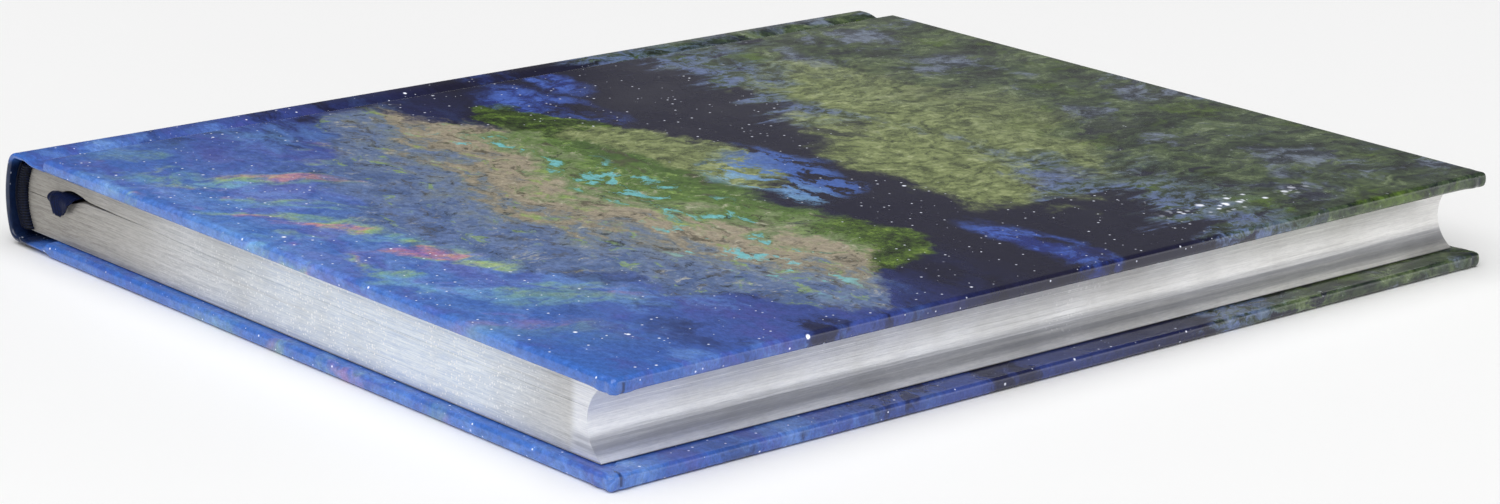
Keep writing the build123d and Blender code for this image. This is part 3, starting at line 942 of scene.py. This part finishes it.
def gilt_pages():
    """Silvered page edges: fine lines along the sheets, streaks and dull patches, with painted light: painted
    reflections, a fore-edge painted lighter and painted glints.
    """
    g = Graph("gilt_pages")
    at = g.place()
    lines = g.noise(g.scaled(at, 0.025, 0.025, 1.0), 7000, 3, 0.65)
    short = g.noise(g.scaled(at, 0.2, 0.2, 1.0), 3600, 3, 0.65)
    bands = g.noise(g.scaled(at, 0.012, 0.012, 1.0), 1700, 3, 0.6)
    cloudy = g.noise(at, 38, 4, 0.6)
    speck = g.noise(at, 3800, 2, 0.6)
    tone = g.add(g.mul(lines, 0.5), g.add(g.mul(short, 0.25), g.mul(bands, 0.25)))
    streak = g.step(tone, 0.36, 0.62)
    x, y, z = g.xyz(at)
    fore = g.step(x, 0.0785, 0.0815)
    tail = g.step(y, -0.09, -0.11)
    # painted reflection: the middle of the tail, and the fore-edge near the tail, are painted bluish and, on
    # the tail, brighter, standing in for light reflected on the silver
    painted_blue_reflection = g.mul(g.step(x, -0.06, 0.02), g.step(x, 0.085, 0.05), tail)
    painted_cool_reflection = g.max(g.mul(painted_blue_reflection, 0.85), g.mul(g.step(y, 0.08, -0.06), g.mul(fore, 0.6)))
    low = g.mix(painted_cool_reflection, srgb(180, 179, 177), srgb(208, 222, 242))
    top = g.mix(painted_cool_reflection, srgb(220, 219, 218), srgb(244, 250, 255))
    # painted light: the fore-edge gets lighter base colours than the tail, standing in for the light falling
    # on it
    low = g.mix(fore, low, g.mix(painted_cool_reflection, srgb(226, 225, 224), srgb(218, 222, 234)))
    top = g.mix(fore, top, g.mix(painted_cool_reflection, srgb(250, 249, 247), srgb(244, 247, 253)))
    color = g.mix(streak, low, top)
    color = g.mix(g.step(bands, 0.58, 0.76, 0, 0.30), color, srgb(140, 140, 146))
    color = g.mix(g.step(cloudy, 0.42, 0.70, 0, 0.35), color, srgb(178, 176, 170))
    # painted reflection: a darker grey-blue band low on the fore-edge, where the silver reflects the dark
    # blue lower board
    foot = g.mul(
        fore, g.step(z, 0.0080, 0.0060), g.step(z, 0.0036, 0.0046), g.step(bands, 0.30, 0.56, 0.45, 1), 0.55,
    )
    color = g.mix(foot, color, srgb(112, 116, 132))
    # painted reflection: near the spine the tail is warmer and darker, where the silver reflects the spine's
    # dark inside
    painted_warm_reflection = g.mul(g.step(x, -0.030, -0.080), tail, 0.65)
    color = g.mix(painted_warm_reflection, color, g.mix(streak, srgb(108, 102, 92), srgb(152, 146, 134)))

    # painted glints: small white, non-metallic spots that stand in for sparkles of light on the silver
    def painted_glints(scale, keep, low, high):
        distance, pick = g.cells(at, scale)
        near = g.div(distance, g.mul(pick[1], 0.52))
        dot = g.mul(g.step(near, 1.0, 0.4), g.step(pick[0], keep, keep + 0.03))
        where = g.max(painted_blue_reflection, g.mul(fore, g.step(g.noise(at, 22, 1, 0.5), 0.54, 0.66, 0, 0.6)))
        return g.mul(dot, where, g.step(g.noise(at, 60, 2, 0.5), low, high))

    painted_glint = g.max(painted_glints(1400, 0.40, 0.30, 0.50), painted_glints(820, 0.66, 0.34, 0.54))
    color = g.mix(painted_glint, color, (1, 1, 1, 1))
    rough = g.step(bands, 0.35, 0.75, 0.42, 0.54)
    rough = g.sub(rough, g.mul(painted_glint, 0.2))
    height = g.add(tone, g.mul(speck, 0.5))
    metal = g.sub(0.66, g.mul(painted_glint, 0.66))
    return g.set(Base_Color=color, Metallic=metal, Roughness=rough, Normal=g.bump(height, 0.35, 0.00006))


def satin(name, dark, light, coords, across=3200):
    """Navy satin: fine ribs across, threads along, a soft sheen."""
    g = Graph(name)
    at = g.uv() if coords == "uv" else g.place()
    k = 0.1 if coords == "uv" else 1.0
    x, y, z = g.xyz(at)
    rib = g.math("SINE", g.mul(y if coords == "uv" else z, 6.283 * across * k))
    thread = g.math("SINE", g.mul(x, 6.283 * across * 0.8 * k))
    fuzz = g.noise(at, 1500 * k, 3, 0.6)
    weave = g.add(g.mul(rib, 0.30), g.add(g.mul(thread, 0.2), fuzz))
    color = g.mix(g.step(weave, 0.1, 1.1), dark, light)
    color = g.mix(g.step(g.noise(at, 260 * k, 3, 0.6), 0.5, 0.75, 0, 0.4), color, dark)
    rough = g.step(fuzz, 0.3, 0.7, 0.46, 0.62)
    return g.set(
        Base_Color=color, Roughness=rough, Sheen_Weight=0.03, Sheen_Roughness=0.35,
        Specular_IOR_Level=0.16, Normal=g.bump(weave, 0.5, 0.00006),
    )


def endpaper():
    """Pale uncoated paper with fibres, faint mottling and a silver-grey edge."""
    g = Graph("endpaper")
    at = g.uv()
    fibre = g.noise(g.scaled(at, 1, 3.0), 130, 4, 0.7)
    cloudy = g.noise(at, 4, 3, 0.6)
    color = g.mix(g.step(cloudy, 0.3, 0.75), srgb(234, 229, 216), srgb(227, 221, 206))
    color = g.mix(g.step(fibre, 0.56, 0.72, 0, 0.3), color, srgb(196, 188, 170))
    s, y, _ = g.xyz(at)
    edge = g.max(g.step(s, 1.764, 1.767), g.max(g.step(y, 0.030, 0.027), g.step(y, 2.256, 2.259)))
    color = g.mix(edge, color, srgb(170, 170, 172))
    rough = g.step(fibre, 0.3, 0.7, 0.72, 0.88)
    normal = g.bump(fibre, 0.25, 0.00008)
    return g.set(Base_Color=color, Roughness=rough, Specular_IOR_Level=0.25, Normal=normal)


def pulp_board(name, dark, light):
    """Grey recycled board: long fibres, flecks, rough cut edges."""
    g = Graph(name)
    at = g.place()
    fibre = g.noise(g.scaled(at, 1, 0.4, 1.4), 1400, 4, 0.7)
    fleck = g.noise(at, 620, 2, 0.6)
    color = g.mix(g.step(fibre, 0.35, 0.68), dark, light)
    color = g.mix(g.step(fleck, 0.66, 0.74, 0, 0.7), color, srgb(70, 62, 52))
    rough = g.step(fibre, 0.3, 0.7, 0.8, 0.95)
    normal = g.bump(fibre, 0.5, 0.0001)
    return g.set(Base_Color=color, Roughness=rough, Specular_IOR_Level=0.2, Normal=normal)


def gauze():
    """Open-weave lining glued on the back of the pages."""
    g = Graph("lining_gauze")
    _, y, z = g.xyz(g.place())
    warp = g.abs(g.math("SINE", g.mul(y, 3.1416 * 1400)))
    weft = g.abs(g.math("SINE", g.mul(z, 3.1416 * 1400)))
    mesh = g.max(g.step(warp, 0.6, 0.9), g.step(weft, 0.6, 0.9))
    fuzz = g.noise(g.place(), 1800, 3, 0.6)
    color = g.mix(mesh, srgb(150, 140, 120), srgb(226, 222, 210))
    color = g.mix(g.step(fuzz, 0.5, 0.75, 0, 0.35), color, srgb(180, 172, 154))
    rough = g.step(fuzz, 0.3, 0.7, 0.8, 0.95)
    return g.set(Base_Color=color, Roughness=rough, Normal=g.bump(g.add(mesh, fuzz), 0.4, 0.0001))


def pale_floor():
    g = Graph("pale_floor")
    at = g.place()
    color = g.mix(g.noise(at, 3, 3, 0.5), srgb(250, 250, 250), srgb(246, 246, 246))
    return g.set(Base_Color=color, Roughness=0.75, Specular_IOR_Level=0.1)


COVER_PRINT = printed_cover()
GILT = gilt_pages()
RIBBON_SATIN = satin("ribbon_satin", srgb(2, 6, 18), srgb(8, 30, 84), "uv")
BAND_SATIN = satin("band_satin", srgb(2, 4, 12), srgb(8, 18, 46), "place", 1900)
PAPER = endpaper()
GREYBOARD = pulp_board("greyboard_fibre", srgb(120, 114, 104), srgb(168, 160, 146))
CARD = pulp_board("spine_card_fibre", srgb(132, 122, 104), srgb(186, 172, 148))
LINING = gauze()
for piece, material, slot in (
    (front_sheet, COVER_PRINT, "printed_cover"), (back_sheet, COVER_PRINT, "printed_cover"),
    (pages, GILT, "pages"), (ribbon_cloth, RIBBON_SATIN, "navy_cloth"),
    (tail_bead, BAND_SATIN, "navy_cloth"), (head_bead, BAND_SATIN, "navy_cloth"),
    (tail_tape, BAND_SATIN, "navy_cloth"), (head_tape, BAND_SATIN, "navy_cloth"),
    (front_paste, PAPER, "endpaper"), (back_paste, PAPER, "endpaper"),
    (front_fly, PAPER, "endpaper"), (back_fly, PAPER, "endpaper"),
):
    piece.data.materials.append(material)
for node, material in (
    ("front_board", GREYBOARD), ("back_board", GREYBOARD), ("spine_card", CARD), ("spine_lining", LINING),
):
    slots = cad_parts[node].data.materials
    slots.clear()
    slots.append(material)

# ---------------------------------------------------------------- camera, floor and light
camera_data = bpy.data.cameras.new("camera")
camera = bpy.data.objects.new("camera", camera_data)
bpy.context.scene.collection.objects.link(camera)
bpy.context.scene.camera = camera
CAMERA_AT = (644.87, -402.51, 220.76)
AZIMUTH, ELEVATION, ROLL = math.radians(47.597), math.radians(16.045), math.radians(-1.911)
back_dir = Vector((
    math.sin(AZIMUTH) * math.cos(ELEVATION),
    -math.cos(AZIMUTH) * math.cos(ELEVATION),
    math.sin(ELEVATION),
))
right = (-back_dir).cross(Vector((0, 0, 1))).normalized()
up = right.cross(-back_dir)
turned_right = math.cos(ROLL) * right - math.sin(ROLL) * up
turned_up = math.cos(ROLL) * up + math.sin(ROLL) * right
rotation = Matrix((turned_right, turned_up, back_dir)).transposed()
camera.matrix_world = Matrix.Translation(put([CAMERA_AT])[0]) @ rotation.to_4x4()
camera_data.sensor_width = 36
# fitted to the photo, like the place and the angles: 21.3 degrees across
camera_data.lens = 95.8296
camera_data.clip_start, camera_data.clip_end = 0.05, 50


def area_light(name, place, target, size, power):
    """place, target and size in metres."""
    data = bpy.data.lights.new(name, "AREA")
    data.shape = "RECTANGLE"
    data.size, data.size_y = size
    data.energy = power
    obj = bpy.data.objects.new(name, data)
    bpy.context.scene.collection.objects.link(obj)
    obj.location = place
    obj.visible_camera = False
    obj.rotation_mode = "QUATERNION"
    obj.rotation_quaternion = (Vector(target) - Vector(place)).to_track_quat("-Z", "Y")


FLOOR_HALF = 60000
FLOOR_Z = -0.05
corners = [(FLOOR_HALF * a, FLOOR_HALF * b, FLOOR_Z) for a, b in ((-1, -1), (1, -1), (1, 1), (-1, 1))]
floor = mesh_object("floor", corners, [(0, 1, 2, 3)])
floor.data.materials.append(pale_floor())
sky_data = bpy.data.lights.new("overhead", "SUN")
sky_data.energy = 2.55
sky_data.angle = math.radians(85)
sky = bpy.data.objects.new("overhead", sky_data)
bpy.context.scene.collection.objects.link(sky)
sky.rotation_euler = (math.radians(14), math.radians(8), 0)
area_light("front_fill", (0.5, -1.4, 0.9), (0, 0, 0), (1.4, 1.2), 9)
area_light("side_low", (1.15, 0.95, 0.30), (0.05, 0.05, 0), (1.5, 0.6), 4.4)
area_light("far_glow", (-0.95, 1.45, 0.34), (0.03, 0.1, 0), (1.1, 0.22), 0.18)
bpy.context.scene.view_settings.view_transform = "Standard"
# the world is plain and pale behind the floor, but gives only a little light
world = bpy.data.worlds.new("world")
bpy.context.scene.world = world
world.use_nodes = True
tree = world.node_tree
dim = tree.nodes["Background"]
dim.inputs[0].default_value = (1, 1, 1, 1)
dim.inputs[1].default_value = 0.07
plain = tree.nodes.new("ShaderNodeBackground")
plain.inputs[0].default_value = (0.93, 0.93, 0.93, 1)
seen = tree.nodes.new("ShaderNodeLightPath")
either = tree.nodes.new("ShaderNodeMixShader")
for output, socket in (
    (seen.outputs["Is Camera Ray"], either.inputs[0]), (dim.outputs[0], either.inputs[1]),
    (plain.outputs[0], either.inputs[2]), (either.outputs[0], tree.nodes["World Output"].inputs[0]),
):
    tree.links.new(output, socket)

# ---------------------------------------------------------------- the joint pieces' placement baked into their meshes
for piece in (front_sheet, front_paste):
    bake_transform(piece)
for piece in (back_sheet, back_paste):
    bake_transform(piece)
